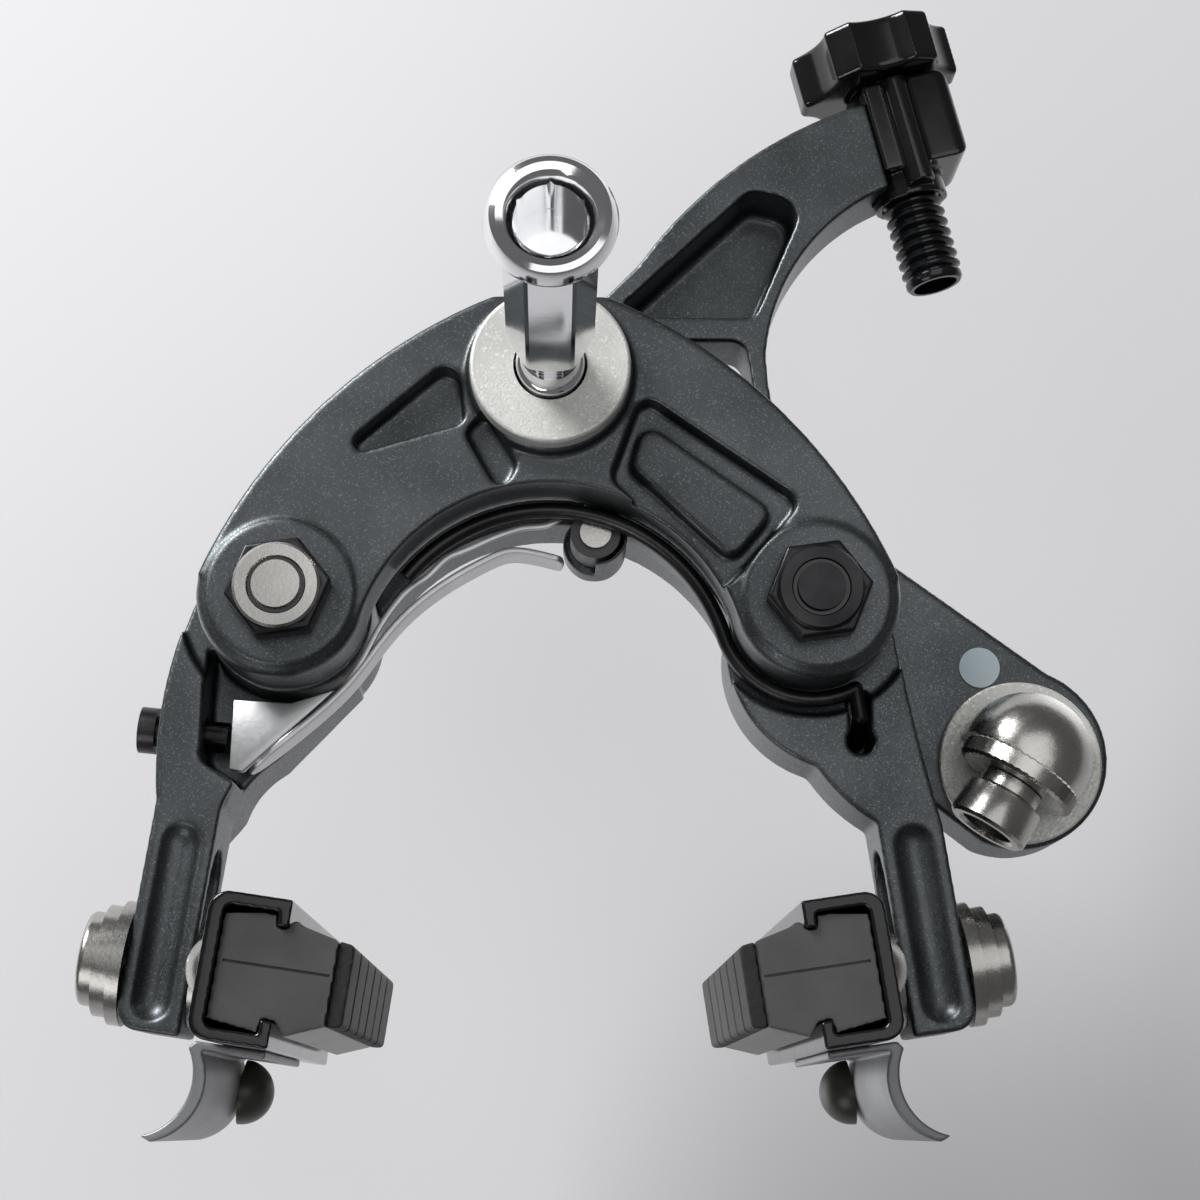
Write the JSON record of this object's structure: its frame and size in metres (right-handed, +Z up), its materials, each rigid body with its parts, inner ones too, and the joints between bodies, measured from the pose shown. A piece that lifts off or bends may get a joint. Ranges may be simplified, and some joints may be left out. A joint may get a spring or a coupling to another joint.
{
  "type": "rim brake caliper",
  "caption": "Dual-pivot side-pull rim brake caliper with recessed-nut mounting bolt, cable adjuster, quick release and cartridge shoes.",
  "frame": {"origin": "centre of the mounting washer's rear face, on the mounting bolt's axis", "axes": "-Y along the mounting bolt towards the fork, +Z up, +X to the right seen from the fork side"},
  "size_m": [0.0985, 0.08, 0.111],
  "materials": {
    "forged_arms": "satin black anodised",
    "bright_steel": "polished",
    "zinc_washer": "fine textured",
    "satin_steel": "satin",
    "dark_steel": "blackened",
    "pressed_steel": "plain",
    "bush_plastic": "matte",
    "mark_paint": "matte",
    "gloss_black": "gloss",
    "black_metal": "gloss black",
    "carrier_black": "satin",
    "friction_rubber": "matte",
    "guide_grey": "satin",
    "button_rubber": "semi gloss"
  },
  "bodies": {
    "back_plate": {"bridge": "forged_arms", "mounting_bolt": "bright_steel", "mounting_washer": "zinc_washer", "recessed_nut": "bright_steel", "left_pivot_bolt": "satin_steel", "right_pivot_bolt": "dark_steel", "left_pivot_nut": "satin_steel", "right_pivot_nut": "dark_steel", "left_thrust_washer": "satin_steel", "right_thrust_washer": "satin_steel", "return_spring": "dark_steel"},
    "left_arm": {"left_arm": "forged_arms", "left_bush": "bush_plastic", "centering_lever": "pressed_steel", "anchor_disc": "zinc_washer", "position_mark": "mark_paint"},
    "centering_screw": {"centering_screw": "dark_steel"},
    "right_arm": {"right_arm": "forged_arms", "right_bush": "bush_plastic", "roller_pin": "satin_steel", "adjuster_collar": "gloss_black"},
    "roller": {"roller": "bush_plastic"},
    "adjuster_knob": {"adjuster_knob": "gloss_black"},
    "adjuster_bolt": {"adjuster_bolt": "black_metal"},
    "quick_release": {"quick_release_hub": "satin_steel", "quick_release_lever": "black_metal", "retaining_ring": "satin_steel"},
    "cable_clamp": {"clamp_washer": "satin_steel", "clamp_bolt": "bright_steel"},
    "left_shoe": {"left_shoe_holder": "black_metal", "left_pad_carrier": "carrier_black", "left_friction_block": "friction_rubber", "left_shoe_bolt": "satin_steel", "left_inner_washers": "satin_steel", "left_outer_washers": "satin_steel", "left_fixing_screw": "satin_steel", "left_wheel_guide": "guide_grey", "left_guide_button": "button_rubber"},
    "right_shoe": {"right_shoe_holder": "black_metal", "right_pad_carrier": "carrier_black", "right_friction_block": "friction_rubber", "right_shoe_bolt": "satin_steel", "right_inner_washers": "satin_steel", "right_outer_washers": "satin_steel", "right_fixing_screw": "satin_steel", "right_wheel_guide": "guide_grey", "right_guide_button": "button_rubber"}
  },
  "joints": [
    {"name": "left_arm_pivot", "type": "hinge", "parent": "back_plate", "child": "left_arm", "pos_m": [-0.0248, 0.015, -0.021], "axis": [0, -1, 0], "range_deg": [0, 9], "stiffness_Nm_per_rad": 1.2, "springref_deg": -14.32, "deforming": ["return_spring"]},
    {"name": "right_arm_pivot", "type": "hinge", "parent": "back_plate", "child": "right_arm", "pos_m": [0.0248, 0.015, -0.021], "axis": [0, 1, 0], "range_deg": [0, 9]},
    {"name": "centering_screw_turn", "type": "hinge", "parent": "left_arm", "child": "centering_screw", "pos_m": [-0.0304, 0.014, -0.03297], "axis": [0.995, 0, -0.0995], "range_deg": [-360, 360]},
    {"name": "roller_spin", "type": "hinge", "parent": "right_arm", "child": "roller", "pos_m": [0.0044, 0.013, -0.0134], "axis": [0, 1, 0], "continuous": true},
    {"name": "adjuster_turn", "type": "hinge", "parent": "right_arm", "child": "adjuster_knob", "pos_m": [0.0334, 0.015, 0.0336], "axis": [-0.2419, 0, 0.9703], "range_deg": [0, 1440]},
    {"name": "adjuster_bolt_slide", "type": "slide", "parent": "right_arm", "child": "adjuster_bolt", "axis": [-0.2419, 0, 0.9703], "range_m": [0, 0.004]},
    {"name": "quick_release_turn", "type": "hinge", "parent": "left_arm", "child": "quick_release", "pos_m": [0.046, 0.0124, -0.0343], "axis": [0, -1, 0], "range_deg": [0, 90]},
    {"name": "cable_clamp_slide", "type": "slide", "parent": "quick_release", "child": "cable_clamp", "axis": [-0.5446, 0, -0.8387], "range_m": [0, 0.0012]},
    {"name": "left_shoe_height", "type": "slide", "parent": "left_arm", "child": "left_shoe", "axis": [0.1478, 0, 0.989], "range_m": [0, 0.0085]},
    {"name": "right_shoe_height", "type": "slide", "parent": "right_arm", "child": "right_shoe", "axis": [-0.1478, 0, 0.989], "range_m": [0, 0.007]}
  ],
  "couplings": [
    {"joint": "right_arm_pivot", "follows": "left_arm_pivot", "ratio": 1},
    {"joint": "adjuster_turn", "follows": "adjuster_bolt_slide", "rad_per_m": 6283.2}
  ]
}
